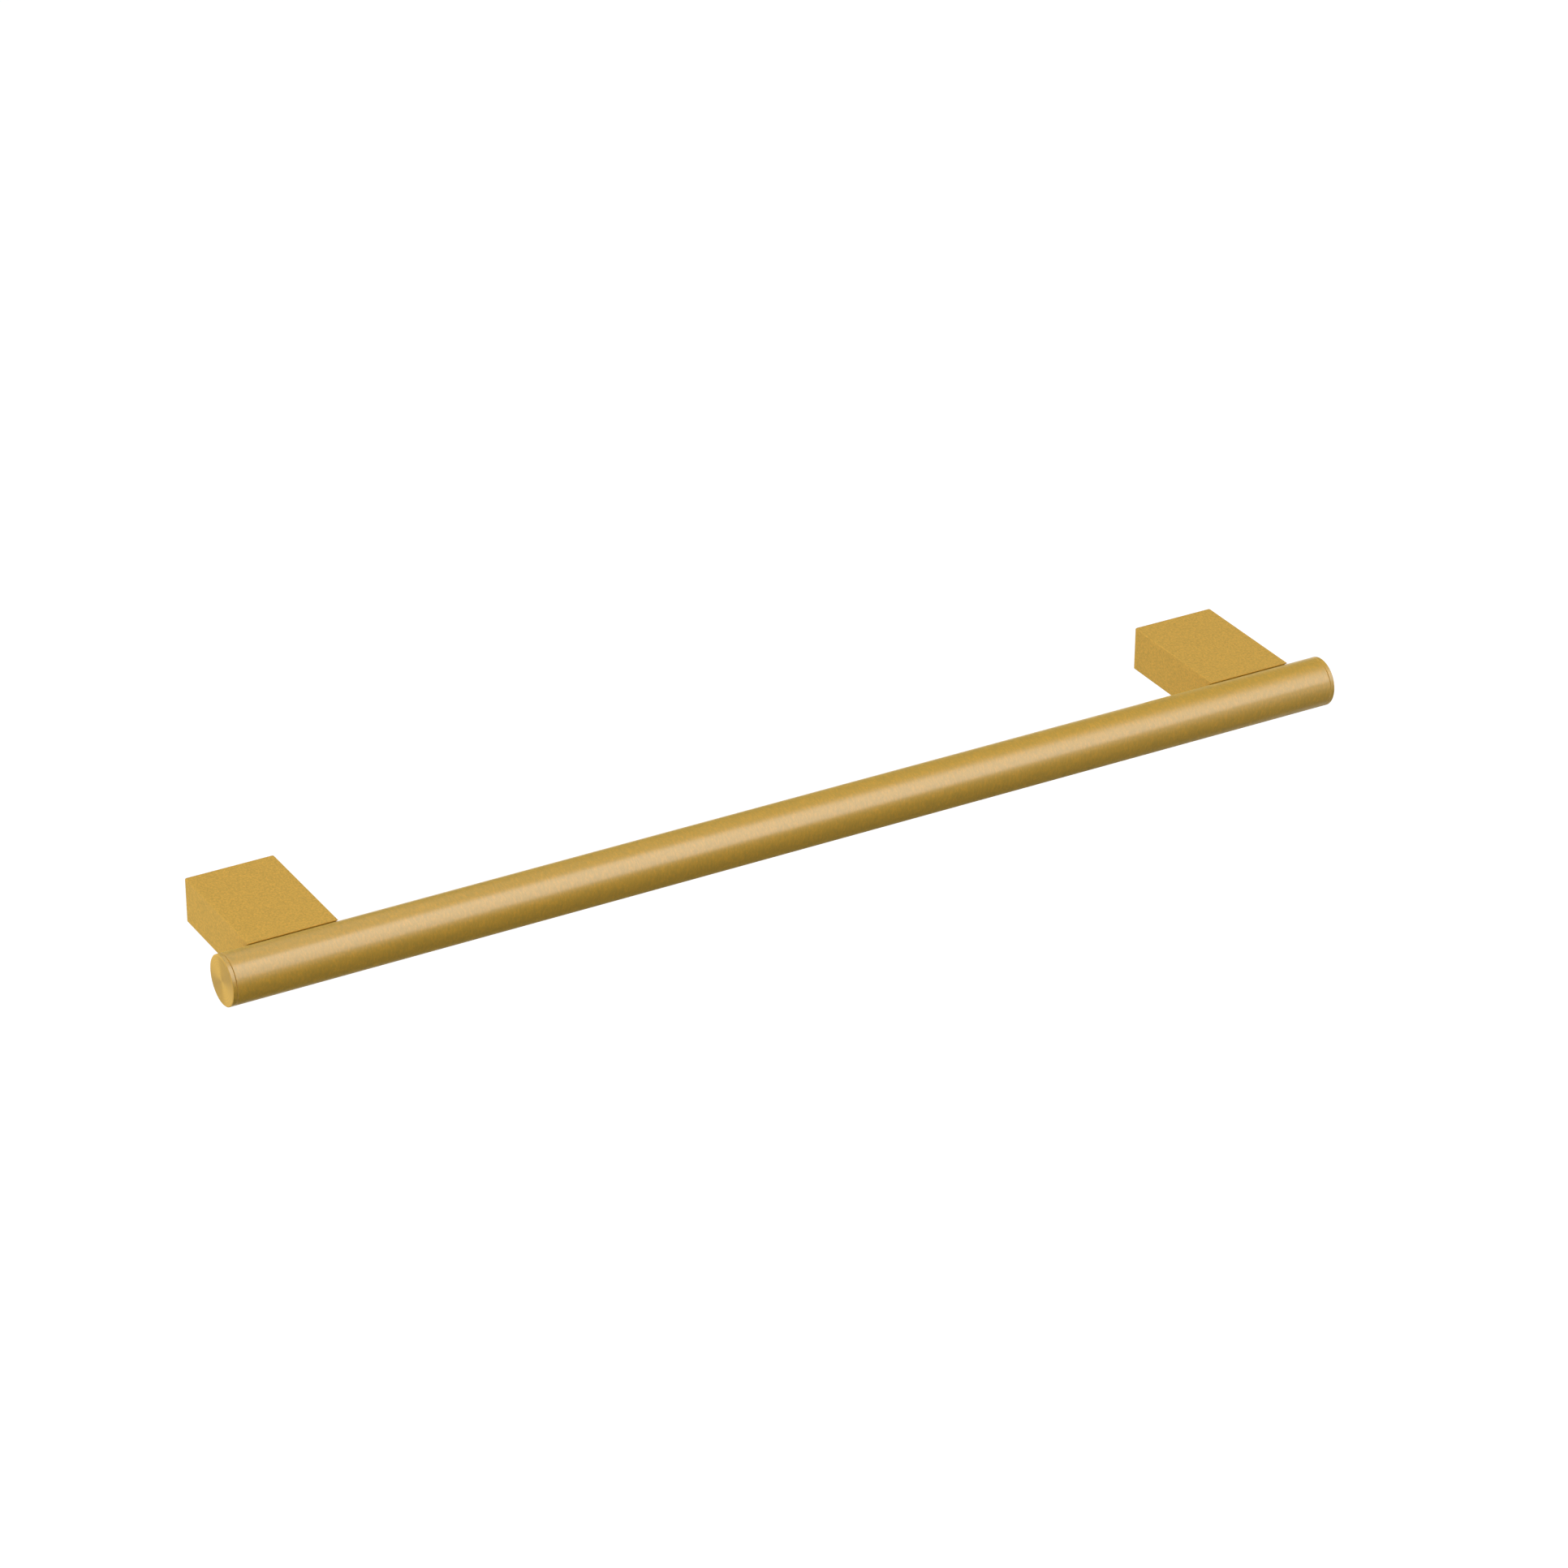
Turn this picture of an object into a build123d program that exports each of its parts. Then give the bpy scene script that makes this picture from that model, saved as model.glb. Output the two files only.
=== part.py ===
from build123d import *
from math import sqrt
import os

# Wall-mounted towel bar: a round bar carried in the saddles of two hollow posts with hidden brackets.
# The origin is on the wall, midway between the posts and level with the bar. +X runs along the bar,
# +Y points into the wall and +Z is up. All sizes are in millimetres.

# Bar tube
BAR_LENGTH = 485.0  # over both end caps
TUBE_DIAMETER = 20.0
TUBE_WALL = 1.2
BAR_FROM_WALL = 61.0  # from the wall to the bar's axis
BAR_OVERHANG = 13.25  # how far each end of the bar runs past its post

# End caps
CAP_FLANGE = 2.0  # thickness of the part that shows
CAP_FACE_CHAMFER = 0.3
CAP_SEAM_CHAMFER = 0.15
CAP_SPIGOT_LENGTH = 9.0
CAP_SPIGOT_CLEARANCE = 0.05  # radial, inside the tube
CAP_LEAD_IN = 0.6

# Posts
POST_WIDTH = 36.5
POST_HEIGHT = 18.5
POST_WALL = 3.0
POST_BACK_CORNER_RADIUS = 0.8
POST_EDGE_RADIUS = 0.5
CAVITY_CORNER_RADIUS = 2.0
SADDLE_WEB = 8.0  # metal between the cavity and the bar
SADDLE_EASE = 0.7  # how much larger the saddle's radius is than the bar's
SADDLE_LIP = 0.25  # thickness of the saddle's thin edges
CUT_OVERRUN = 1.0  # how far a cutter runs past the faces it opens

# Screw, washer and nut that hold the bar in a saddle
BOLT_DIAMETER = 5.0
BOLT_HOLE_CLEARANCE = 0.25  # radial, in the post and the tube
BOLT_HEAD_DIAMETER = 8.5
BOLT_HEAD_HEIGHT = 5.0
BOLT_HEAD_CHAMFER = 0.4
BOLT_SOCKET = 4.0  # across flats
BOLT_SOCKET_DEPTH = 2.5
BOLT_TIP_INSET = 1.5  # from the bolt's tip to the nut's flat
WASHER_DIAMETER = 9.2
WASHER_THICKNESS = 1.2
WASHER_CLEARANCE = 0.2  # radial, round the bolt
WASHER_SPLIT = 0.8
NUT_LENGTH = 18.0
NUT_THICKNESS = 7.0
NUT_CLEARANCE = 0.1  # radial, inside the tube
THREAD_CLEARANCE = 0.05  # radial, between the plain cylinders that stand for two threads

# Wall bracket, and the set screw that locks a post to it
PLATE_THICKNESS = 4.0
PLATE_CLEARANCE = 0.2  # round the plate, inside the post
WALL_SCREW_HOLE = 4.5
WALL_SCREW_FROM_EDGE = 5.3
COUNTERSINK_DIAMETER = 8.2
TONGUE_FROM_COUNTERSINK = 0.9
TONGUE_HEADROOM = 2.8
TONGUE_PAST_SCREW = 6.0
TONGUE_NOSE_CHAMFER = 0.8
SET_SCREW_DIAMETER = 5.0
SET_SCREW_LENGTH = 6.0
SET_SCREW_TIP = 1.2  # diameter of the cone's flat tip
SET_SCREW_SOCKET = 2.5  # across flats
SET_SCREW_SOCKET_DEPTH = 2.4
SET_SCREW_RECESS = 0.4  # above the post's underside
SET_SCREW_FROM_WALL = 11.0
SET_SCREW_MOUTH = 0.3  # chamfer where its hole opens
SEAT_DEPTH = 0.9  # how far the cone reaches into the tongue
SEAT_CLEARANCE = 0.05  # past the cone's tip
BOSS_WALL = 2.0
BOSS_GAP = 0.5  # between the boss and the tongue

# Sizes that follow from those above
tube_radius = TUBE_DIAMETER / 2
tube_inner_radius = tube_radius - TUBE_WALL
tube_length = BAR_LENGTH - 2 * CAP_FLANGE
post_offset = BAR_LENGTH / 2 - BAR_OVERHANG - POST_WIDTH / 2

saddle_radius = tube_radius + SADDLE_EASE
saddle_from_wall = BAR_FROM_WALL + SADDLE_EASE
lip_height = POST_HEIGHT / 2 - SADDLE_LIP
# The post ends where its lips are SADDLE_LIP thick, or level with the bar's axis if it is the taller.
post_depth = saddle_from_wall - sqrt(max(saddle_radius**2 - lip_height**2, 0))
cavity_width = POST_WIDTH - 2 * POST_WALL
cavity_height = POST_HEIGHT - 2 * POST_WALL
cavity_depth = BAR_FROM_WALL - tube_radius - SADDLE_WEB

bolt_radius = BOLT_DIAMETER / 2
bolt_hole_radius = bolt_radius + BOLT_HOLE_CLEARANCE
bolt_seat_from_wall = cavity_depth - WASHER_THICKNESS
nut_radius = tube_inner_radius - NUT_CLEARANCE
nut_flat_from_wall = BAR_FROM_WALL - nut_radius + NUT_THICKNESS
bolt_tip_from_wall = nut_flat_from_wall - BOLT_TIP_INSET

set_screw_radius = SET_SCREW_DIAMETER / 2
set_screw_bottom = SET_SCREW_RECESS - POST_HEIGHT / 2
set_screw_top = set_screw_bottom + SET_SCREW_LENGTH
plate_width = cavity_width - 2 * PLATE_CLEARANCE
plate_height = cavity_height - 2 * PLATE_CLEARANCE
wall_screw_offset = plate_width / 2 - WALL_SCREW_FROM_EDGE
tongue_bottom = set_screw_top - SEAT_DEPTH
tongue_top = cavity_height / 2 - TONGUE_HEADROOM
tongue_width = 2 * (wall_screw_offset - COUNTERSINK_DIAMETER / 2 - TONGUE_FROM_COUNTERSINK)
tongue_depth = SET_SCREW_FROM_WALL + TONGUE_PAST_SCREW


def facing_room(x, from_wall, z=0):
    """A plane parallel to the wall: its normal points into the room, its axes along +X and +Z."""
    return Plane(origin=(x, -from_wall, z), x_dir=(1, 0, 0), z_dir=(0, -1, 0))


def prism(x, start, end, outline):
    """An outline carried square to the wall, from one distance from the wall to another."""
    return extrude(facing_room(x, start) * outline, amount=end - start)


def upright(x, bottom, top, outline):
    """An outline carried up from one height to another, on the set screw's axis."""
    return extrude(Plane((x, -SET_SCREW_FROM_WALL, bottom)) * outline, amount=top - bottom)


def hexagon(across_flats):
    """A hexagon for a key, given across its flats."""
    return RegularPolygon(across_flats / 2, side_count=6, major_radius=False)


def make_tube(post_centres):
    """The bar, with a hole through its rear wall at each post."""
    section = Circle(tube_radius) - Circle(tube_inner_radius)
    end = Plane(origin=(-tube_length / 2, -BAR_FROM_WALL, 0), x_dir=(0, 1, 0), z_dir=(1, 0, 0))
    tube = extrude(end * section, amount=tube_length)
    rear = BAR_FROM_WALL - tube_radius
    for x in post_centres:
        tube -= prism(x, rear - CUT_OVERRUN, BAR_FROM_WALL, Circle(bolt_hole_radius))
    return tube


def make_end_cap(side):
    """A turned cap: a flange as wide as the tube, and a spigot that fits inside it."""
    spigot_radius = tube_inner_radius - CAP_SPIGOT_CLEARANCE
    half_section = Polyline(
        (CAP_FLANGE, 0),
        (CAP_FLANGE, tube_radius - CAP_FACE_CHAMFER),
        (CAP_FLANGE - CAP_FACE_CHAMFER, tube_radius),
        (CAP_SEAM_CHAMFER, tube_radius),
        (0, tube_radius - CAP_SEAM_CHAMFER),
        (0, spigot_radius),
        (CAP_LEAD_IN - CAP_SPIGOT_LENGTH, spigot_radius),
        (-CAP_SPIGOT_LENGTH, spigot_radius - CAP_LEAD_IN),
        (-CAP_SPIGOT_LENGTH, 0),
        close=True,
    )
    tube_end = (side * tube_length / 2, -BAR_FROM_WALL, 0)
    outward = Plane(origin=tube_end, x_dir=(side, 0, 0), z_dir=(0, -side, 0))
    return revolve(outward * make_face(half_section), axis=Axis(tube_end, (1, 0, 0)))


def make_post(x):
    """A hollow post, rounded outside and open to the wall, with a saddle for the bar at its front."""
    post = prism(x, 0, post_depth, Rectangle(POST_WIDTH, POST_HEIGHT))
    post = fillet(post.edges().filter_by(Axis.Z).group_by(Axis.Y)[-1], POST_BACK_CORNER_RADIUS)
    front = post.faces().sort_by(Axis.Y)[0]
    rims = (post.edges() - front.edges()).filter_by(Axis.Z, reverse=True)
    post = fillet(rims, POST_EDGE_RADIUS)
    post -= prism(x, 0, cavity_depth, RectangleRounded(cavity_width, cavity_height, CAVITY_CORNER_RADIUS))
    saddle = Cylinder(saddle_radius, POST_WIDTH + 2 * CUT_OVERRUN, rotation=(0, 90, 0))
    post -= Pos(x, -saddle_from_wall, 0) * saddle
    post -= prism(x, cavity_depth - CUT_OVERRUN, BAR_FROM_WALL, Circle(bolt_hole_radius))

    underside = -POST_HEIGHT / 2
    thread_radius = set_screw_radius + THREAD_CLEARANCE
    boss_foot = underside + POST_WALL / 2
    boss_top = tongue_bottom - BOSS_GAP
    post += upright(x, boss_foot, boss_top, Circle(set_screw_radius + BOSS_WALL))
    post -= upright(x, underside, boss_top, Circle(thread_radius))
    mouth = Cone(thread_radius + SET_SCREW_MOUTH, thread_radius, SET_SCREW_MOUTH)
    post -= Pos(x, -SET_SCREW_FROM_WALL, underside + SET_SCREW_MOUTH / 2) * mouth
    return post


def make_wall_bracket(x):
    """A plate that fits inside the post, with two countersunk holes and a tongue for the set screw."""
    corner = CAVITY_CORNER_RADIUS - PLATE_CLEARANCE
    bracket = prism(x, 0, PLATE_THICKNESS, RectangleRounded(plate_width, plate_height, corner))
    middle = (tongue_bottom + tongue_top) / 2
    section = Pos(0, middle) * Rectangle(tongue_width, tongue_top - tongue_bottom)
    tongue = prism(x, PLATE_THICKNESS / 2, tongue_depth, section)
    tongue = chamfer(tongue.faces().sort_by(Axis.Y)[0].edges(), TONGUE_NOSE_CHAMFER)
    bracket += tongue

    countersink_depth = (COUNTERSINK_DIAMETER - WALL_SCREW_HOLE) / 2
    countersink = Cone(WALL_SCREW_HOLE / 2, COUNTERSINK_DIAMETER / 2, countersink_depth)
    for offset in (-wall_screw_offset, wall_screw_offset):
        bracket -= prism(x + offset, 0, PLATE_THICKNESS, Circle(WALL_SCREW_HOLE / 2))
        bracket -= facing_room(x + offset, PLATE_THICKNESS - countersink_depth / 2) * countersink

    seat_depth = SEAT_DEPTH + SEAT_CLEARANCE
    seat_tip = SET_SCREW_TIP / 2
    seat = Cone(seat_tip + seat_depth, seat_tip, seat_depth)
    bracket -= Pos(x, -SET_SCREW_FROM_WALL, tongue_bottom + seat_depth / 2) * seat
    return bracket


def make_set_screw(x):
    """A headless screw with a cone point at the top and a hexagon socket below."""
    cone_height = set_screw_radius - SET_SCREW_TIP / 2
    screw = upright(x, set_screw_bottom, set_screw_top - cone_height, Circle(set_screw_radius))
    cone = Cone(set_screw_radius, SET_SCREW_TIP / 2, cone_height)
    screw += Pos(x, -SET_SCREW_FROM_WALL, set_screw_top - cone_height / 2) * cone
    socket_top = set_screw_bottom + SET_SCREW_SOCKET_DEPTH
    return screw - upright(x, set_screw_bottom, socket_top, hexagon(SET_SCREW_SOCKET))


def make_bar_bolt(x):
    """A socket-head screw from the post's cavity through the saddle into the nut."""
    head_from_wall = bolt_seat_from_wall - BOLT_HEAD_HEIGHT
    head = prism(x, head_from_wall, bolt_seat_from_wall, Circle(BOLT_HEAD_DIAMETER / 2))
    head = chamfer(head.edges().sort_by(Axis.Y)[-1], BOLT_HEAD_CHAMFER)
    shank = prism(x, bolt_seat_from_wall, bolt_tip_from_wall, Circle(bolt_radius))
    socket_end = head_from_wall + BOLT_SOCKET_DEPTH
    return head + shank - prism(x, head_from_wall, socket_end, hexagon(BOLT_SOCKET))


def make_spring_washer(x):
    """A split ring under the bolt's head, pressed flat."""
    split = Pos(0, WASHER_DIAMETER / 2) * Rectangle(WASHER_SPLIT, WASHER_DIAMETER)
    ring = Circle(WASHER_DIAMETER / 2) - Circle(bolt_radius + WASHER_CLEARANCE) - split
    return prism(x, bolt_seat_from_wall, cavity_depth, ring)


def make_bar_nut(x):
    """A block cut from round bar that lies against the tube's rear wall and takes the bolt's thread."""
    block = Cylinder(nut_radius, NUT_LENGTH, rotation=(0, 90, 0))
    block = Pos(x, -BAR_FROM_WALL, 0) * block
    far_side = BAR_FROM_WALL + nut_radius
    block -= prism(x, nut_flat_from_wall, far_side, Rectangle(NUT_LENGTH, 2 * nut_radius))
    thread = Circle(bolt_radius + THREAD_CLEARANCE)
    return block - prism(x, BAR_FROM_WALL - nut_radius - CUT_OVERRUN, far_side, thread)


SIDES = {"left": -1, "right": 1}
PER_POST = {
    "post": make_post,
    "wall_bracket": make_wall_bracket,
    "set_screw": make_set_screw,
    "bar_bolt": make_bar_bolt,
    "spring_washer": make_spring_washer,
    "bar_nut": make_bar_nut,
}

nodes = {"bar_tube": make_tube([side * post_offset for side in SIDES.values()])}
for side_name, side in SIDES.items():
    nodes[f"end_cap_{side_name}"] = make_end_cap(side)
    for piece_name, make_piece in PER_POST.items():
        nodes[f"{piece_name}_{side_name}"] = make_piece(side * post_offset)

os.makedirs("parts", exist_ok=True)
for node_name, solid in nodes.items():
    export_step(solid, f"parts/{node_name}.step")
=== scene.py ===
from math import asin, cos, pi, radians, sin, sqrt, tan, tau

import bmesh
import bpy
from bpy.props import FloatProperty, FloatVectorProperty, PointerProperty
from mathutils import Euler, Matrix, Vector


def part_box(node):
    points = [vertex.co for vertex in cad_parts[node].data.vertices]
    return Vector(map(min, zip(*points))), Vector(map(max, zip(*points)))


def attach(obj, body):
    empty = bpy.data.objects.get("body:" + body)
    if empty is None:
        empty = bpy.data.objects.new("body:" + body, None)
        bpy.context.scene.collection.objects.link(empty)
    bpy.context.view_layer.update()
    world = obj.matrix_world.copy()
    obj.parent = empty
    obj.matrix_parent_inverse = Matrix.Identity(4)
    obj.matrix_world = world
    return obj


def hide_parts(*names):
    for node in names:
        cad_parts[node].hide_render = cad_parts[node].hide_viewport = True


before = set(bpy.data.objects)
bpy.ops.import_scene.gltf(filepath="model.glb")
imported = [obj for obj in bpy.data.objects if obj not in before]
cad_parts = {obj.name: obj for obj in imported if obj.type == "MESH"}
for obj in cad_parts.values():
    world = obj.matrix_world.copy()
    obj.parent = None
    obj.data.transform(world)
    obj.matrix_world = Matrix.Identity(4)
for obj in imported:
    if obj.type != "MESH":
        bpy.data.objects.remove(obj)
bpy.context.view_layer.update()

bl_info = {
    "name": "Brushed gold towel bar",
    "version": (1, 0, 0),
    "blender": (4, 5, 0),
    "location": "3D View > Sidebar > Towel Bar",
    "description": "Dresses the packed solids of a wall-mounted towel bar",
    "category": "Object",
}

MM = 0.001  # a millimetre in metres
SIDES = {"left": -1, "right": 1}

# Fineness of the meshes
TUBE_SEGMENTS = 160  # round the tube
TUBE_BAYS = 48  # along the tube
TUBE_END_STEPS = 3  # in the rounding of the tube's ends
CAP_SEGMENTS = 160  # round a cap
CAP_EDGE_STEPS = 4  # in the rounding of a cap's edges
SADDLE_STEPS = 48  # from the middle of a saddle to its lip
EDGE_STEPS = 8  # in the rounding of a post's long edges and its cavity's floor
CORNER_STEPS = 8  # in the rounding of a post's upright edges and its cavity's corners
TOOL_SEGMENTS = 48  # round drills and bosses
OVERRUN = 1 * MM  # how far a cut runs past a face that it opens
WELD_WITHIN = 0.002 * MM  # points closer than this are one point
OPEN_FACET_SIDES = 4  # largest facet that is closed where a cut left it open
SMOOTH_BELOW = radians(32)  # edges that turn less than this are shaded smooth

# Nearly all of a noise's values lie between these
NOISE_RANGE = {"From Min": 0.3, "From Max": 0.7}

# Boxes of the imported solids, which give every main size and place
tube_low, tube_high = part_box("bar_tube")
cap_low, cap_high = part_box("end_cap_right")
post_low, post_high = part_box("post_right")
set_screw_low, set_screw_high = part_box("set_screw_right")
bar_axis = (tube_low + tube_high) / 2
post_centre_x = (post_low.x + post_high.x) / 2
set_screw_y = (set_screw_low.y + set_screw_high.y) / 2

# Turns that carry a lathe's own axis, local +Z, along the bar or towards the wall
ALONG_BAR = Matrix.Rotation(pi / 2, 4, "Y")
INTO_WALL = Matrix.Rotation(-pi / 2, 4, "X")

# The camera's place in metres, its angles in degrees, and its lens and sensor in millimetres, as fitted to
# the outline of the bar
CAMERA_PLACE = (-0.90368, -1.61001, 0.98768)
CAMERA_ANGLES = (61.57274, -0.29889, -29.90301)
CAMERA_LENS = 122.72
CAMERA_SENSOR = 36.0

# The lamp and the cards that the bar mirrors. Each faces the bar from a place in the fan of ways in which
# the bar mirrors the camera: elevation in degrees and distance in metres from the bar, width and height in
# metres. lean, in degrees, turns a panel's left side to a greater elevation, and slide, in metres, then moves
# the panel to the left.
PANELS = {
    "soft_box": {"elevation": 51, "distance": 8.0, "size": (3.7, 9.0), "lean": -14, "slide": 0.2},
    "card_below": {"elevation": -55, "distance": 0.7, "size": (4.6, 2.2), "slide": 1.92},
    "card_front": {"elevation": 47, "distance": 10.0, "size": (14.0, 11.5), "lean": -30},
    "card_above": {"elevation": 140, "distance": 4.0, "size": (1.8, 6.6), "lean": -10, "slide": -0.35},
    "card_behind": {"elevation": -138, "distance": 1.0, "size": (4.0, 0.72)},
}
FLOOR_SIZE = 24.0  # side of the square floor in metres


# Settings


def length(name, description, default):
    """A size in metres for the sidebar."""
    return FloatProperty(name=name, description=description, default=default, unit="LENGTH", precision=5)


def linear(hex_colour):
    """An sRGB hex colour as linear red, green, blue and a full alpha."""
    channels = [int(hex_colour[start : start + 2], 16) / 255 for start in (1, 3, 5)]
    return [c / 12.92 if c <= 0.04045 else ((c + 0.055) / 1.055) ** 2.4 for c in channels] + [1.0]


def colour(name, description, hex_colour):
    """A surface colour for the sidebar, written as sRGB hex."""
    return FloatVectorProperty(
        name=name,
        description=description,
        default=linear(hex_colour),
        size=4,
        subtype="COLOR",
        min=0,
        max=1,
    )


class TubeSizes(bpy.types.PropertyGroup):
    """Sizes of the bar's tube"""

    length: length("Length", "Tube between the end caps", tube_high.x - tube_low.x)
    radius: length("Radius", "Outside radius of the tube", (tube_high.y - tube_low.y) / 2)
    wall: length("Wall", "Thickness of the tube's wall", 1.2 * MM)
    end_round: length("End round", "Rounding of the edges at the tube's ends", 0.2 * MM)
    hole_radius: length("Hole radius", "Holes in the rear wall for the bar bolts", 2.75 * MM)


class CapSizes(bpy.types.PropertyGroup):
    """Sizes of the end caps"""

    flange: length("Flange", "Thickness of the part that shows", cap_high.x - tube_high.x)
    spigot: length("Spigot", "Length of the part inside the tube", tube_high.x - cap_low.x)
    spigot_clearance: length("Spigot clearance", "Between the spigot and the tube", 0.05 * MM)
    face_chamfer: length("Face chamfer", "Chamfer round the outer face", 0.3 * MM)
    seam_chamfer: length("Seam chamfer", "Chamfer that makes the parting line", 0.25 * MM)
    lead_in: length("Lead-in", "Chamfer at the spigot's inner end", 0.6 * MM)
    edge_round: length("Edge round", "Rounding of the face chamfer's edges", 0.06 * MM)


class PostSizes(bpy.types.PropertyGroup):
    """Sizes of the posts"""

    width: length("Width", "Along the bar", post_high.x - post_low.x)
    height: length("Height", "Up and down", post_high.z - post_low.z)
    depth: length("Depth", "From the wall to the saddle's lips", post_high.y - post_low.y)
    edge_round: length("Edge round", "Rounding of the long edges and the back rim", 0.5 * MM)
    back_corner: length("Back corner", "Radius of the upright edges at the wall", 0.8 * MM)
    edge_break: length("Edge break", "Chamfer at the saddle's two ends", 0.12 * MM)
    saddle_ease: length("Saddle ease", "How much larger the saddle's radius is than the tube's", 0.5 * MM)
    wall: length("Wall", "Thickness of the casting's walls", 3.0 * MM)
    cavity_depth: length("Cavity depth", "From the wall to the web behind the bar", 43.0 * MM)
    cavity_corner: length("Cavity corner", "Radius of the cavity's corners", 2.0 * MM)
    cavity_floor_round: length("Cavity floor round", "Rounding at the bottom of the cavity", 0.5 * MM)
    mouth_chamfer: length("Mouth chamfer", "Chamfer where the cavity and the screw hole open", 0.3 * MM)
    bolt_hole_radius: length("Bolt hole radius", "Hole through the web", 2.75 * MM)
    screw_hole_radius: length("Set screw hole radius", "Hole in the underside", 2.55 * MM)
    boss_wall: length("Boss wall", "Metal round the set screw", 1.95 * MM)
    boss_top: length("Boss top", "Height of the boss's top, from the bar's axis", -4.25 * MM)


class Finishes(bpy.types.PropertyGroup):
    """Colours of the metals"""

    tube_gold: colour("Tube gold", "Brushed gold of the tube", "#dfbf57")
    cap_gold: colour("Cap gold", "Turned gold of the end caps", "#e6c36e")
    post_gold: colour("Post gold", "Fine-grained gold of the posts", "#deba60")
    zinc: colour("Zinc plate", "Plated steel of the wall brackets", "#b4b7ba")
    stainless: colour("Stainless steel", "Screws and washers", "#a6a49f")
    raw_brass: colour("Raw brass", "Machined nuts inside the tube", "#c8a45c")


class StageSettings(bpy.types.PropertyGroup):
    """Floor, cards and light"""

    floor_colour: colour("Floor", "Pale matt floor", "#ececec")
    grey_card: colour("Grey card", "Cards behind the soft box and low behind the bar", "#7c7b77")
    black_card: colour("Black card", "Cards above and below the bar", "#2c2b29")
    floor_drop: length("Floor drop", "From the bar down to the floor", 1.3)
    floor_lift: FloatProperty(
        name="Floor lift",
        description="Light that brings the floor up to white in pictures",
        default=0.32,
        min=0,
    )
    room_level: FloatProperty(
        name="Room level",
        description="Strength of the surroundings on matt surfaces",
        default=0.7,
        min=0,
    )
    key_power: FloatProperty(
        name="Key light",
        description="Power of the soft box",
        default=323.0,
        unit="POWER",
    )


class TowelBarSettings(bpy.types.PropertyGroup):
    """All settings of the towel bar"""

    tube: PointerProperty(type=TubeSizes)
    cap: PointerProperty(type=CapSizes)
    post: PointerProperty(type=PostSizes)
    finish: PointerProperty(type=Finishes)
    stage: PointerProperty(type=StageSettings)


# Mesh tools


def skin(bm, rings, wrap=False):
    """Joins rings of points with faces.

    A ring of one point is a pole, and wrap joins the last ring to the first."""
    rows = [[bm.verts.new(point) for point in ring] for ring in rings]
    pairs = list(zip(rows, rows[1:]))
    if wrap:
        pairs.append((rows[-1], rows[0]))
    for a, b in pairs:
        for i in range(max(len(a), len(b))):
            j = i + 1
            corners = [a[i % len(a)], a[j % len(a)], b[j % len(b)], b[i % len(b)]]
            bm.faces.new(list(dict.fromkeys(corners)))
    return rows


def new_object(name, bm):
    """Turns a bmesh into an object, with all its faces pointing outwards."""
    bmesh.ops.recalc_face_normals(bm, faces=bm.faces)
    mesh = bpy.data.meshes.new(name)
    bm.to_mesh(mesh)
    bm.free()
    made = bpy.data.objects.new(name, mesh)
    bpy.context.scene.collection.objects.link(made)
    return made


def turned(name, profile, place, segments=TOOL_SEGMENTS, wrap=False):
    """An object turned from a profile of (along, radius) points about local Z, and set in place."""
    rings = []
    for along, radius in profile:
        count = segments if radius > 0 else 1
        angles = [tau * i / count for i in range(count)]
        rings.append([place @ Vector((radius * cos(a), radius * sin(a), along)) for a in angles])
    bm = bmesh.new()
    skin(bm, rings, wrap)
    return new_object(name, bm)


def lofted(name, rings):
    """An object skinned over rings of points, with a flat face at each end."""
    bm = bmesh.new()
    rows = skin(bm, rings)
    bm.faces.new(rows[0])
    bm.faces.new(rows[-1])
    return new_object(name, bm)


def eased(points, radii, steps):
    """An outline with some corners rounded: radii maps a corner's index to its radius."""
    points = [Vector(point) for point in points]
    outline = []
    for index, corner in enumerate(points):
        radius = radii.get(index, 0)
        if not radius:
            outline.append(corner)
            continue
        before = (points[index - 1] - corner).normalized()
        after = (points[(index + 1) % len(points)] - corner).normalized()
        half_angle = before.angle(after) / 2
        centre = corner + (before + after).normalized() * radius / sin(half_angle)
        reach = radius / tan(half_angle)
        start = corner + before * reach - centre
        end = corner + after * reach - centre
        outline += [centre + radius * start.slerp(end, step / steps) for step in range(steps + 1)]
    return outline


def rounded_rectangle(width, height, radius, steps):
    """Points of a rounded rectangle about the origin."""
    x, z = width / 2, height / 2
    corners = [(-x, -z), (x, -z), (x, z), (-x, z)]
    return eased(corners, dict.fromkeys(range(len(corners)), radius), steps)


def rod(start, end, radius):
    """A plain rod's profile, closed at both ends."""
    return [(start, 0), (start, radius), (end, radius), (end, 0)]


def weld(mesh):
    """Joins points that cuts left on top of each other, drops slivers and closes facets left open."""
    bm = bmesh.new()
    bm.from_mesh(mesh)
    bmesh.ops.remove_doubles(bm, verts=bm.verts, dist=WELD_WITHIN)
    bmesh.ops.dissolve_degenerate(bm, dist=WELD_WITHIN, edges=bm.edges)
    open_edges = [edge for edge in bm.edges if edge.is_boundary]
    bmesh.ops.holes_fill(bm, edges=open_edges, sides=OPEN_FACET_SIDES)
    bmesh.ops.recalc_face_normals(bm, faces=bm.faces)
    bm.to_mesh(mesh)
    bm.free()


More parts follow.
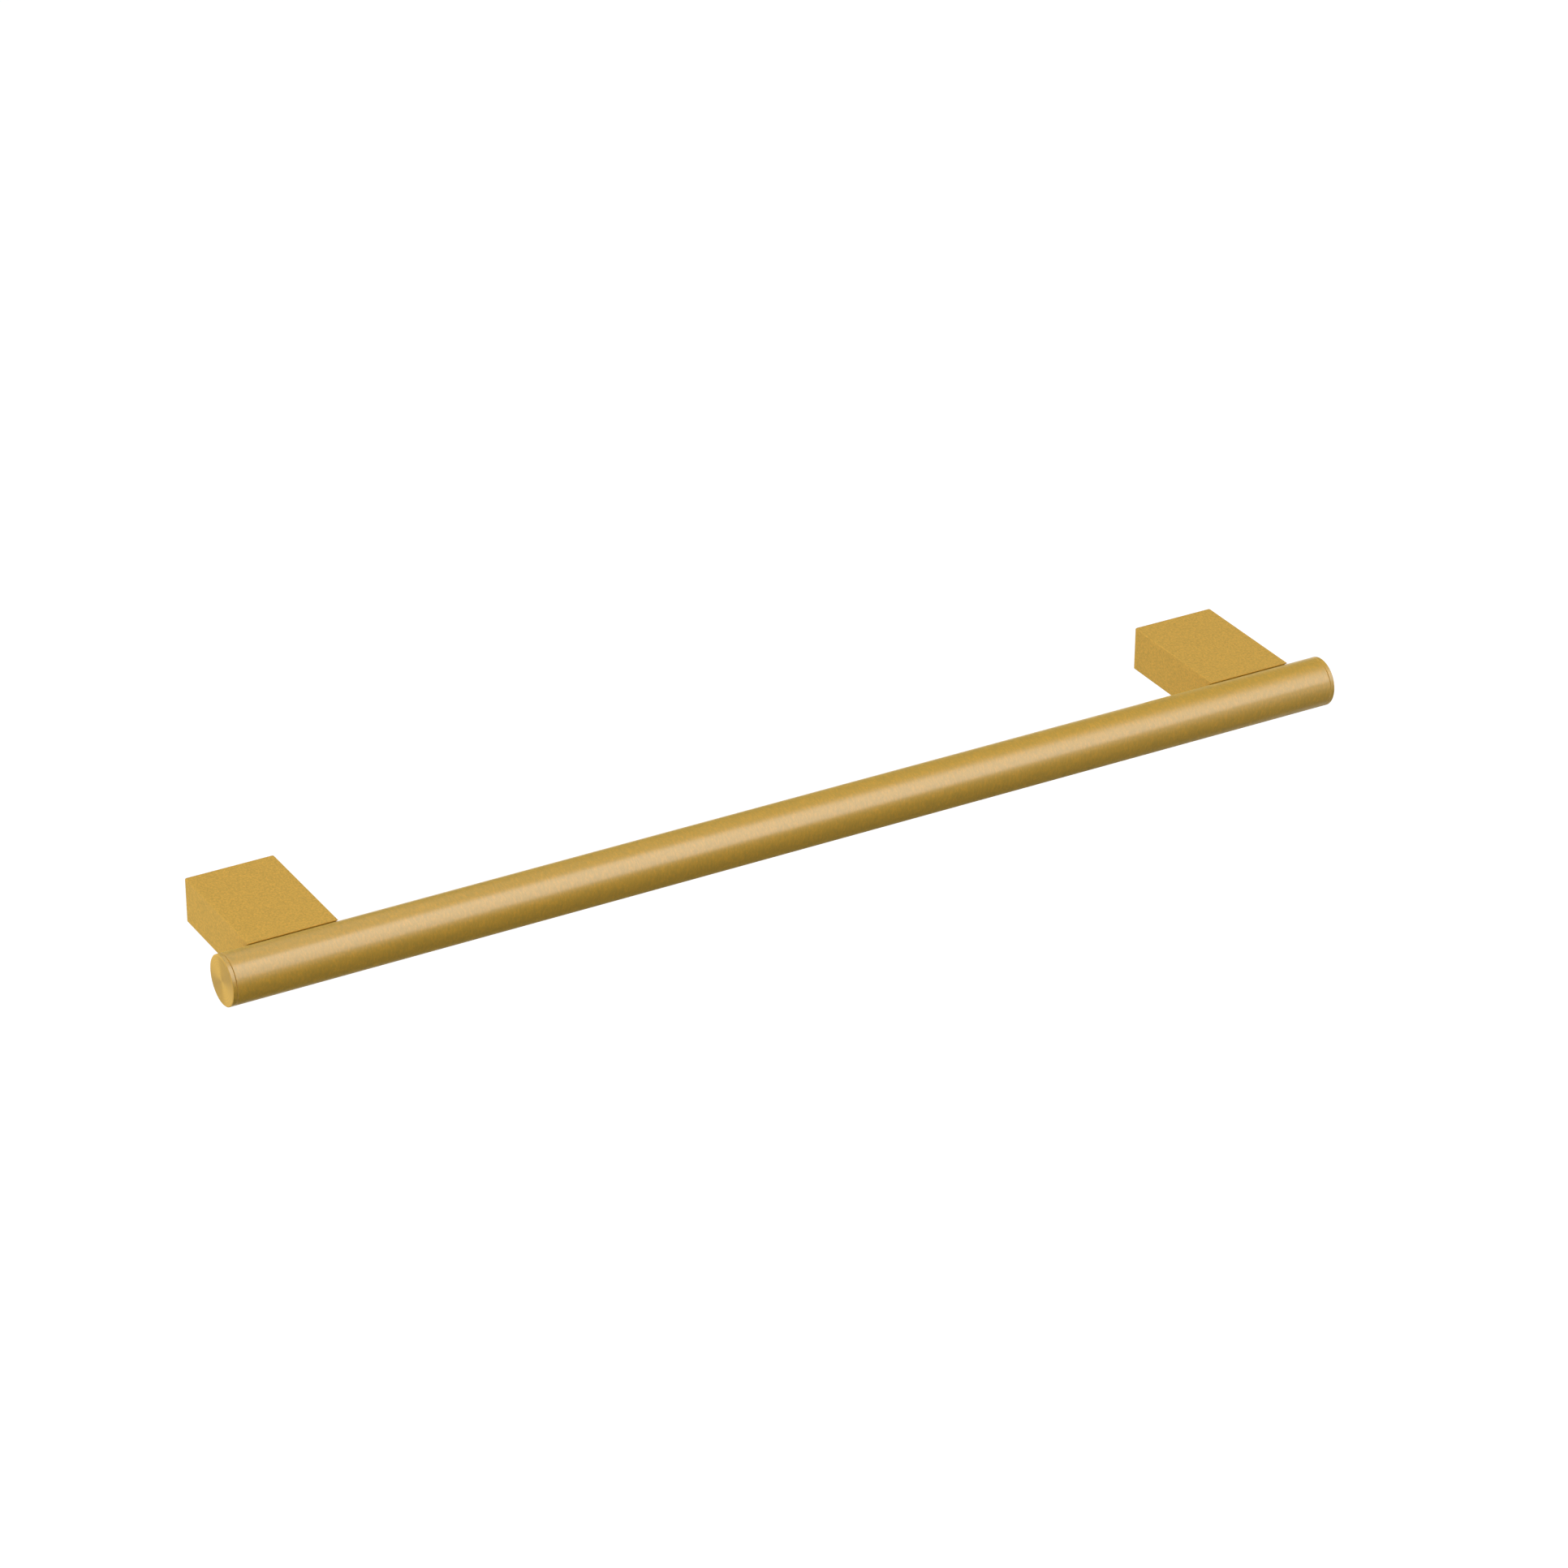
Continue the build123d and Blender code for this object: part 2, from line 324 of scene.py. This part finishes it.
def machine(piece, steps):
    """Cuts solids from a piece or joins them to it, in order. The solids are then deleted."""
    for solid, operation in steps:
        change = piece.modifiers.new(solid.name, "BOOLEAN")
        change.object = solid
        change.operation = operation
        change.solver = "EXACT"
    blank = piece.data
    machined = piece.evaluated_get(bpy.context.evaluated_depsgraph_get())
    piece.data = bpy.data.meshes.new_from_object(machined)
    weld(piece.data)
    piece.modifiers.clear()
    bpy.data.meshes.remove(blank)
    for solid, _ in steps:
        bpy.data.meshes.remove(solid.data)


def finish_piece(piece, material, node):
    """Shades a piece, gives it its material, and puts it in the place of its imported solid."""
    piece.data.shade_smooth()
    piece.data.set_sharp_from_angle(angle=SMOOTH_BELOW)
    flat_faces = piece.modifiers.new("flat_faces", "WEIGHTED_NORMAL")
    flat_faces.keep_sharp = True
    piece.data.materials.clear()
    piece.data.materials.append(material)
    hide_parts(node)
    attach(piece, "root")


def dress_node(node, material):
    """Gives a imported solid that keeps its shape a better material."""
    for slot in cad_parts[node].material_slots:
        slot.material = material


# Material tools


def add_node(tree, kind, inputs=None, **settings):
    """Adds a node, applies its settings, and fills its sockets with values or links."""
    node = tree.nodes.new(kind)
    for name, value in settings.items():
        setattr(node, name, value)
    for socket, value in (inputs or {}).items():
        if isinstance(value, bpy.types.NodeSocket):
            tree.links.new(value, node.inputs[socket])
        else:
            node.inputs[socket].default_value = value
    return node


def new_material(name):
    """A material with an empty node tree."""
    material = bpy.data.materials.new(name)
    material.use_nodes = True
    material.node_tree.nodes.clear()
    return material


def set_surface(tree, sockets):
    """Ends a material's tree with a shader whose sockets hold these values and links."""
    shader = add_node(tree, "ShaderNodeBsdfPrincipled", sockets)
    add_node(tree, "ShaderNodeOutputMaterial", {"Surface": shader.outputs["BSDF"]})


def strokes(tree, size, detail=3.0):
    """Grain drawn out along brush strokes: size is one mark's extent in metres on each axis."""
    place = add_node(tree, "ShaderNodeTexCoord").outputs["Object"]
    marks = add_node(tree, "ShaderNodeMapping", {"Vector": place, "Scale": [1 / extent for extent in size]})
    noise = {"Vector": marks.outputs["Vector"], "Scale": 1.0, "Detail": detail, "Roughness": 0.7}
    return add_node(tree, "ShaderNodeTexNoise", noise).outputs["Fac"]


def turning_marks(tree, spacing):
    """Grain in rings about the bar's axis, a spacing apart, as a lathe leaves it."""
    place = add_node(tree, "ShaderNodeTexCoord").outputs["Object"]
    centred = {"Vector": place, "Location": -bar_axis, "Scale": (0, 1, 1)}
    across = add_node(tree, "ShaderNodeMapping", centred).outputs["Vector"]
    radius = add_node(tree, "ShaderNodeVectorMath", {0: across}, operation="LENGTH").outputs["Value"]
    noise = {"W": radius, "Scale": 1 / spacing, "Detail": 2.0}
    return add_node(tree, "ShaderNodeTexNoise", noise, noise_dimensions="1D").outputs["Fac"]


def metal(name, tint, grain, rough, rough_spread, shade_spread, dent, **sockets):
    """A metal whose grain shifts its shade, its roughness and its height a little.

    grain adds the pattern's nodes to a tree. The names of further sockets have _ in place of a space."""
    material = new_material(name)
    tree = material.node_tree
    marks = grain(tree)
    ranged = {"Value": marks, **NOISE_RANGE}
    shade_range = {**ranged, "To Min": 1 - shade_spread, "To Max": 1 + shade_spread}
    shade = add_node(tree, "ShaderNodeMapRange", shade_range).outputs["Result"]
    tinted = {"Color": tint, "Value": shade}
    rough_range = {**ranged, "To Min": rough - rough_spread, "To Max": rough + rough_spread}
    dents = {"Height": marks, "Strength": 1.0, "Distance": dent}
    dented = add_node(tree, "ShaderNodeBump", dents).outputs["Normal"]
    surface = {
        "Base Color": add_node(tree, "ShaderNodeHueSaturation", tinted).outputs["Color"],
        "Metallic": 1.0,
        "Roughness": add_node(tree, "ShaderNodeMapRange", rough_range).outputs["Result"],
        "Normal": dented,
        "Coat Normal": dented,
    }
    named = {socket.replace("_", " "): value for socket, value in sockets.items()}
    if "Anisotropic" in named:
        round_the_bar = add_node(tree, "ShaderNodeTangent", direction_type="RADIAL", axis="X")
        named["Tangent"] = round_the_bar.outputs["Tangent"]
    set_surface(tree, {**surface, **named})
    return material


# Materials


def brushed_gold(finish):
    """The finish of the tube and of the caps' rims, which are brushed with it."""
    # Brass tube brushed round and round, gold plated, under a hard ceramic clear coat. The strokes run across
    # the bar and scatter light more along it than round it. The coat bends light more than a lacquer does,
    # so its pale band of light is strong. Real strokes are about 0.1 mm wide, too fine to show, so these are
    # coarser.
    name = "brushed gold on brass tube"
    return bpy.data.materials.get(name) or metal(
        name,
        finish.tube_gold,
        lambda tree: strokes(tree, (0.8 * MM, 1.8 * MM, 1.8 * MM), detail=2.0),
        rough=0.92,
        rough_spread=0.05,
        shade_spread=0.11,
        dent=0.01 * MM,
        Anisotropic=0.3,
        Anisotropic_Rotation=0.25,
        Coat_Weight=0.9,
        Coat_Roughness=0.3,
        Coat_IOR=1.9,
    )


def turned_gold(finish):
    """The finish of the caps' faces."""
    # Turned brass, gold plated: fine rings about the middle, which catch the light in a fan. Real rings are
    # about 0.1 mm apart, too fine to show, so these are coarser.
    return metal(
        "turned gold on brass cap",
        finish.cap_gold,
        lambda tree: turning_marks(tree, 0.5 * MM),
        rough=0.74,
        rough_spread=0.05,
        shade_spread=0.06,
        dent=0.01 * MM,
        Anisotropic=0.7,
    )


def cast_gold(finish):
    """The finish of the posts."""
    # Die-cast brass, linished along the post and gold plated: a dense fine grain and a flat glow. Real grit
    # marks are about 0.1 mm wide, too fine to show, so these are coarser.
    return metal(
        "fine-grained gold on cast post",
        finish.post_gold,
        lambda tree: strokes(tree, (0.7 * MM, 1.0 * MM, 0.7 * MM), detail=2.0),
        rough=0.78,
        rough_spread=0.05,
        shade_spread=0.14,
        dent=0.01 * MM,
    )


def zinc_plate(finish):
    """The finish of the wall brackets."""
    # Pressed steel, zinc plated and passivated: a cool grey with faint soft patches a few millimetres wide.
    return metal(
        "zinc-plated steel",
        finish.zinc,
        lambda tree: strokes(tree, (3 * MM, 3 * MM, 3 * MM)),
        rough=0.42,
        rough_spread=0.1,
        shade_spread=0.08,
        dent=0.004 * MM,
    )


def stainless_steel(finish):
    """The finish of the screws and washers."""
    # Cold-headed stainless steel: a warm grey, with fine draw marks along the bar bolts.
    return metal(
        "cold-headed stainless steel",
        finish.stainless,
        lambda tree: strokes(tree, (0.4 * MM, 2 * MM, 0.4 * MM)),
        rough=0.32,
        rough_spread=0.08,
        shade_spread=0.06,
        dent=0.002 * MM,
    )


def raw_brass(finish):
    """The finish of the nuts inside the tube."""
    # Brass bar, sawn and drilled, left bare: yellow metal with cutter marks across it.
    return metal(
        "machined raw brass",
        finish.raw_brass,
        lambda tree: strokes(tree, (0.5 * MM, 6 * MM, 6 * MM)),
        rough=0.36,
        rough_spread=0.08,
        shade_spread=0.06,
        dent=0.004 * MM,
    )


# Tube


def tube_profile(sizes):
    """The section of the tube's wall, with its outer edges rounded at both ends."""
    half = sizes.length / 2
    inner = sizes.radius - sizes.wall
    stations = [sizes.length * (i / TUBE_BAYS - 0.5) for i in range(1, TUBE_BAYS)]
    outside = [(-half, sizes.radius), *[(x, sizes.radius) for x in stations], (half, sizes.radius)]
    inside = [(half, inner), *[(x, inner) for x in reversed(stations)]]
    profile = [(-half, inner), *outside, *inside]
    outer_edges = [1, len(outside)]
    return eased(profile, dict.fromkeys(outer_edges, sizes.end_round), TUBE_END_STEPS)


class TOWELBAR_OT_make_tube(bpy.types.Operator):
    """Turn the bar's tube and drill its two rear holes"""

    bl_idname = "towel_bar.make_tube"
    bl_label = "Make Tube"

    def execute(self, context):
        settings = context.scene.towel_bar
        sizes = settings.tube
        place = Matrix.Translation(bar_axis) @ ALONG_BAR
        tube = turned("brushed_tube", tube_profile(sizes), place, TUBE_SEGMENTS, wrap=True)
        drills = []
        for side in SIDES.values():
            start = Matrix.Translation((side * post_centre_x, bar_axis.y, bar_axis.z)) @ INTO_WALL
            drill = turned("drill", rod(0, sizes.radius + OVERRUN, sizes.hole_radius), start)
            drills.append((drill, "DIFFERENCE"))
        machine(tube, drills)
        finish_piece(tube, brushed_gold(settings.finish), "bar_tube")
        return {"FINISHED"}


# End caps


def cap_profile(tube, cap):
    """The half section of a cap: a flange as wide as the tube, and a spigot that fits inside it."""
    spigot_radius = tube.radius - tube.wall - cap.spigot_clearance
    profile = [
        (cap.flange, 0),
        (cap.flange, tube.radius - cap.face_chamfer),
        (cap.flange - cap.face_chamfer, tube.radius),
        (cap.seam_chamfer, tube.radius),
        (0, tube.radius - cap.seam_chamfer),
        (0, spigot_radius),
        (cap.lead_in - cap.spigot, spigot_radius),
        (-cap.spigot, spigot_radius - cap.lead_in),
        (-cap.spigot, 0),
    ]
    face_chamfer_edges = [1, 2]
    return eased(profile, dict.fromkeys(face_chamfer_edges, cap.edge_round), CAP_EDGE_STEPS)


class TOWELBAR_OT_make_end_caps(bpy.types.Operator):
    """Turn the two end caps"""

    bl_idname = "towel_bar.make_end_caps"
    bl_label = "Make End Caps"

    def execute(self, context):
        settings = context.scene.towel_bar
        profile = cap_profile(settings.tube, settings.cap)
        face_gold = turned_gold(settings.finish)
        rim_gold = brushed_gold(settings.finish)
        for side_name, side in SIDES.items():
            end = Matrix.Translation((side * settings.tube.length / 2, bar_axis.y, bar_axis.z))
            outward = end @ Matrix.Rotation(side * pi / 2, 4, "Y")
            cap = turned(f"turned_cap_{side_name}", profile, outward, CAP_SEGMENTS)
            finish_piece(cap, face_gold, f"end_cap_{side_name}")
            cap.data.materials.append(rim_gold)
            # The rim faces away from the bar's axis. So does the side of the spigot, which is hidden.
            for face in cap.data.polygons:
                on_rim = abs(face.normal.x) < sin(SMOOTH_BELOW)
                face.material_index = int(on_rim)
        return {"FINISHED"}


# Posts


def post_outline(sizes, saddle_radius, z):
    """The post's outline at one height: back corners rounded, front edge on the saddle."""
    half_height = sizes.height / 2
    past_flat = max(abs(z) - (half_height - sizes.edge_round), 0)
    inset = sizes.edge_round - sqrt(max(sizes.edge_round**2 - past_flat**2, 0))
    saddle_y = bar_axis.y - sizes.saddle_ease + sqrt(max(saddle_radius**2 - z**2, 0))
    front = max(saddle_y, -sizes.depth)
    side = sizes.width / 2 - inset
    chamfer = sizes.edge_break
    outline = [
        (-side + chamfer, front),
        (-side, front + chamfer),
        (-side, -inset),
        (side, -inset),
        (side, front + chamfer),
        (side - chamfer, front),
    ]
    back_corners = [2, 3]
    return eased(outline, dict.fromkeys(back_corners, sizes.back_corner - inset), CORNER_STEPS)


def post_heights(sizes, saddle_radius):
    """Heights at which the post's outline is drawn: along the saddle's arc and round its edges."""
    lip = bar_axis.y - sizes.saddle_ease + sizes.depth
    lip_angle = asin(sqrt(saddle_radius**2 - lip**2) / saddle_radius)
    heights = [saddle_radius * sin(lip_angle * i / SADDLE_STEPS) for i in range(SADDLE_STEPS + 1)]
    flat = sizes.height / 2 - sizes.edge_round
    heights += [flat + sizes.edge_round * sin(pi / 2 * i / EDGE_STEPS) for i in range(EDGE_STEPS + 1)]
    return sorted({side * round(height, 8) for height in heights for side in SIDES.values()})


def post_blank(name, sizes, saddle_radius, x):
    """The post without its cavity and holes."""
    levels = []
    for z in post_heights(sizes, saddle_radius):
        outline = post_outline(sizes, saddle_radius, z)
        levels.append([Vector((x + across, y, z)) for across, y in outline])
    return lofted(name, levels)


def cavity(sizes, x):
    """The room inside the post, with a chamfered mouth at the wall and a rounded floor."""
    mouth = sizes.mouth_chamfer
    floor = sizes.cavity_floor_round
    width = sizes.width - 2 * sizes.wall
    height = sizes.height - 2 * sizes.wall
    stations = [(OVERRUN, mouth + OVERRUN), (0, mouth), (-mouth, 0)]
    for step in range(EDGE_STEPS + 1):
        turn = pi / 2 * step / EDGE_STEPS
        stations.append((floor * (1 - sin(turn)) - sizes.cavity_depth, floor * (cos(turn) - 1)))
    rings = []
    for y, grown in stations:
        corner = sizes.cavity_corner + grown
        outline = rounded_rectangle(width + 2 * grown, height + 2 * grown, corner, CORNER_STEPS)
        rings.append([Vector((x + across, y, up)) for across, up in outline])
    return lofted("cavity", rings)


def boss(sizes, x):
    """The boss inside the post that the set screw goes through."""
    foot = sizes.wall / 2 - sizes.height / 2
    radius = sizes.screw_hole_radius + sizes.boss_wall
    return turned("boss", rod(foot, sizes.boss_top, radius), Matrix.Translation((x, set_screw_y, 0)))


def screw_hole(sizes, x):
    """The set screw's hole, with a chamfered mouth in the underside."""
    radius = sizes.screw_hole_radius
    underside = -sizes.height / 2
    top = sizes.boss_top + OVERRUN
    profile = [
        (underside - OVERRUN, 0),
        (underside - OVERRUN, radius + sizes.mouth_chamfer + OVERRUN),
        (underside + sizes.mouth_chamfer, radius),
        (top, radius),
        (top, 0),
    ]
    return turned("screw_hole", profile, Matrix.Translation((x, set_screw_y, 0)))


def bolt_hole(sizes, x):
    """The bar bolt's hole through the web between the cavity and the saddle."""
    web_back = Matrix.Translation((x, OVERRUN - sizes.cavity_depth, 0)) @ INTO_WALL
    return turned("bolt_hole", rod(-sizes.depth + sizes.cavity_depth, 0, sizes.bolt_hole_radius), web_back)


class TOWELBAR_OT_make_posts(bpy.types.Operator):
    """Build the two hollow posts with their saddles, cavities and screw holes"""

    bl_idname = "towel_bar.make_posts"
    bl_label = "Make Posts"

    def execute(self, context):
        settings = context.scene.towel_bar
        sizes = settings.post
        saddle_radius = settings.tube.radius + sizes.saddle_ease
        gold = cast_gold(settings.finish)
        for side_name, side in SIDES.items():
            x = side * post_centre_x
            post = post_blank(f"cast_post_{side_name}", sizes, saddle_radius, x)
            steps = [
                (cavity(sizes, x), "DIFFERENCE"),
                (boss(sizes, x), "UNION"),
                (screw_hole(sizes, x), "DIFFERENCE"),
                (bolt_hole(sizes, x), "DIFFERENCE"),
            ]
            machine(post, steps)
            finish_piece(post, gold, f"post_{side_name}")
        return {"FINISHED"}


# Fixings


class TOWELBAR_OT_finish_fixings(bpy.types.Operator):
    """Give the brackets, screws, washers and nuts their metals"""

    bl_idname = "towel_bar.finish_fixings"
    bl_label = "Finish Fixings"

    def execute(self, context):
        finish = context.scene.towel_bar.finish
        zinc = zinc_plate(finish)
        stainless = stainless_steel(finish)
        brass = raw_brass(finish)
        metals = {
            "wall_bracket": zinc,
            "set_screw": stainless,
            "bar_bolt": stainless,
            "spring_washer": stainless,
            "bar_nut": brass,
        }
        for side_name in SIDES:
            for piece_name, material in metals.items():
                dress_node(f"{piece_name}_{side_name}", material)
        return {"FINISHED"}


# Stage


def seen_directly(tree):
    """1 for what shows to the camera, in metal or through glass, and 0 for light on matt surfaces."""
    path = add_node(tree, "ShaderNodeLightPath").outputs
    seen = path["Is Camera Ray"]
    for ray in ("Is Glossy Ray", "Is Transmission Ray"):
        either = add_node(tree, "ShaderNodeMath", {0: seen, 1: path[ray]}, operation="MAXIMUM")
        seen = either.outputs["Value"]
    return seen


def matt(name, tint, lift=0.0):
    """Matt paint or card. lift is light that only the camera and mirrors see, and whitens a pale floor."""
    material = new_material(name)
    tree = material.node_tree
    # Flat paint, rolled on, and plain card: next to no shine, so each shows as one even tone.
    surface = {"Base Color": tint, "Roughness": 0.9, "Specular IOR Level": 0.2}
    if lift:
        lifted = {0: seen_directly(tree), 1: lift}
        strength = add_node(tree, "ShaderNodeMath", lifted, operation="MULTIPLY").outputs["Value"]
        surface.update({"Emission Color": (1, 1, 1, 1), "Emission Strength": strength})
    set_surface(tree, surface)
    material.cycles.emission_sampling = "NONE"
    return material


def white_room(level):
    """White surroundings, which light matt surfaces at a level of their own."""
    world = bpy.data.worlds.new("white room")
    world.use_nodes = True
    tree = world.node_tree
    tree.nodes.clear()
    strength_range = {"Value": seen_directly(tree), "To Min": level, "To Max": 1.0}
    strength = add_node(tree, "ShaderNodeMapRange", strength_range).outputs["Result"]
    white = add_node(tree, "ShaderNodeBackground", {"Color": (1, 1, 1, 1), "Strength": strength})
    add_node(tree, "ShaderNodeOutputWorld", {"Surface": white.outputs["Background"]})
    return world


def panel_place(panel):
    """The place of a panel: local +X is left, +Y is to a greater elevation and +Z is towards the bar."""
    sight = (bar_axis - Vector(CAMERA_PLACE)).normalized()
    across = sqrt(1 - sight.x**2)
    turn = radians(panel["elevation"])
    way = Vector((sight.x, -across * cos(turn), across * sin(turn)))
    up = Vector((0, sin(turn), cos(turn)))
    axes = Matrix((way.cross(up), up, -way)).transposed().to_4x4()
    lean = Matrix.Rotation(radians(panel.get("lean", 0)), 4, "Z")
    slide = Matrix.Translation((panel.get("slide", 0), 0, 0))
    return Matrix.Translation(bar_axis + way * panel["distance"]) @ axes @ lean @ slide


def sheet(name, place, size, material):
    """A flat rectangle of the stage."""
    bm = bmesh.new()
    x, y = size[0] / 2, size[1] / 2
    bm.faces.new([bm.verts.new(corner) for corner in ((-x, -y, 0), (x, -y, 0), (x, y, 0), (-x, y, 0))])
    made = new_object(name, bm)
    made.matrix_world = place
    made.data.materials.append(material)
    return made


def hang_card(name, paint):
    """A card that shows only in what the bar mirrors."""
    card = sheet(name, panel_place(PANELS[name]), PANELS[name]["size"], paint)
    card.visible_camera = False
    card.visible_diffuse = False
    card.visible_shadow = False
    card.visible_transmission = False


def hang_soft_box(power):
    """The lamp, a large soft box. It is turned about, because a lamp shines along its own -Z."""
    key = bpy.data.lights.new("soft_box", "AREA")
    key.shape = "RECTANGLE"
    key.size, key.size_y = PANELS["soft_box"]["size"]
    key.energy = power
    soft_box = bpy.data.objects.new("soft_box", key)
    soft_box.matrix_world = panel_place(PANELS["soft_box"]) @ Matrix.Rotation(pi, 4, "Y")
    soft_box.visible_camera = False
    bpy.context.scene.collection.objects.link(soft_box)


def set_camera():
    """The camera, at the photograph's viewing angle."""
    lens = bpy.data.cameras.new("camera")
    lens.sensor_width = CAMERA_SENSOR
    lens.lens = CAMERA_LENS
    camera = bpy.data.objects.new("camera", lens)
    camera.location = CAMERA_PLACE
    camera.rotation_euler = Euler([radians(angle) for angle in CAMERA_ANGLES], "XYZ")
    bpy.context.scene.collection.objects.link(camera)
    bpy.context.scene.camera = camera


class TOWELBAR_OT_set_stage(bpy.types.Operator):
    """Lay the floor, light the bar and set the camera"""

    bl_idname = "towel_bar.set_stage"
    bl_label = "Set Stage"

    def execute(self, context):
        stage = context.scene.towel_bar.stage
        context.scene.view_settings.view_transform = "Standard"
        context.scene.world = white_room(stage.room_level)

        floor_paint = matt("pale matt floor paint", stage.floor_colour, stage.floor_lift)
        floor_place = Matrix.Translation((0, 0, -stage.floor_drop))
        sheet("floor", floor_place, (FLOOR_SIZE, FLOOR_SIZE), floor_paint)

        black = matt("black card", stage.black_card)
        grey = matt("grey card", stage.grey_card)
        hang_card("card_below", black)
        hang_card("card_front", grey)
        hang_card("card_above", black)
        hang_card("card_behind", grey)

        hang_soft_box(stage.key_power)
        set_camera()
        return {"FINISHED"}


# Sidebar and registration

OPERATORS = [
    TOWELBAR_OT_make_tube,
    TOWELBAR_OT_make_end_caps,
    TOWELBAR_OT_make_posts,
    TOWELBAR_OT_finish_fixings,
    TOWELBAR_OT_set_stage,
]


class TOWELBAR_PT_sidebar(bpy.types.Panel):
    """Sizes, colours and build steps of the towel bar"""

    bl_idname = "TOWELBAR_PT_sidebar"
    bl_label = "Towel Bar"
    bl_space_type = "VIEW_3D"
    bl_region_type = "UI"
    bl_category = "Towel Bar"

    def draw(self, context):
        for operator in OPERATORS:
            self.layout.operator(operator.bl_idname)
        for group_name in TowelBarSettings.__annotations__:
            group = getattr(context.scene.towel_bar, group_name)
            box = self.layout.box()
            box.label(text=group_name.capitalize())
            for setting in type(group).__annotations__:
                box.prop(group, setting)


PROPERTY_GROUPS = [TubeSizes, CapSizes, PostSizes, Finishes, StageSettings, TowelBarSettings]
CLASSES = [*PROPERTY_GROUPS, *OPERATORS, TOWELBAR_PT_sidebar]


def register():
    for item in CLASSES:
        bpy.utils.register_class(item)
    bpy.types.Scene.towel_bar = PointerProperty(type=TowelBarSettings)


def unregister():
    del bpy.types.Scene.towel_bar
    for item in reversed(CLASSES):
        bpy.utils.unregister_class(item)


def main():
    register()
    bpy.ops.towel_bar.make_tube()
    bpy.ops.towel_bar.make_end_caps()
    bpy.ops.towel_bar.make_posts()
    bpy.ops.towel_bar.finish_fixings()
    bpy.ops.towel_bar.set_stage()


if __name__ == "__main__":
    main()
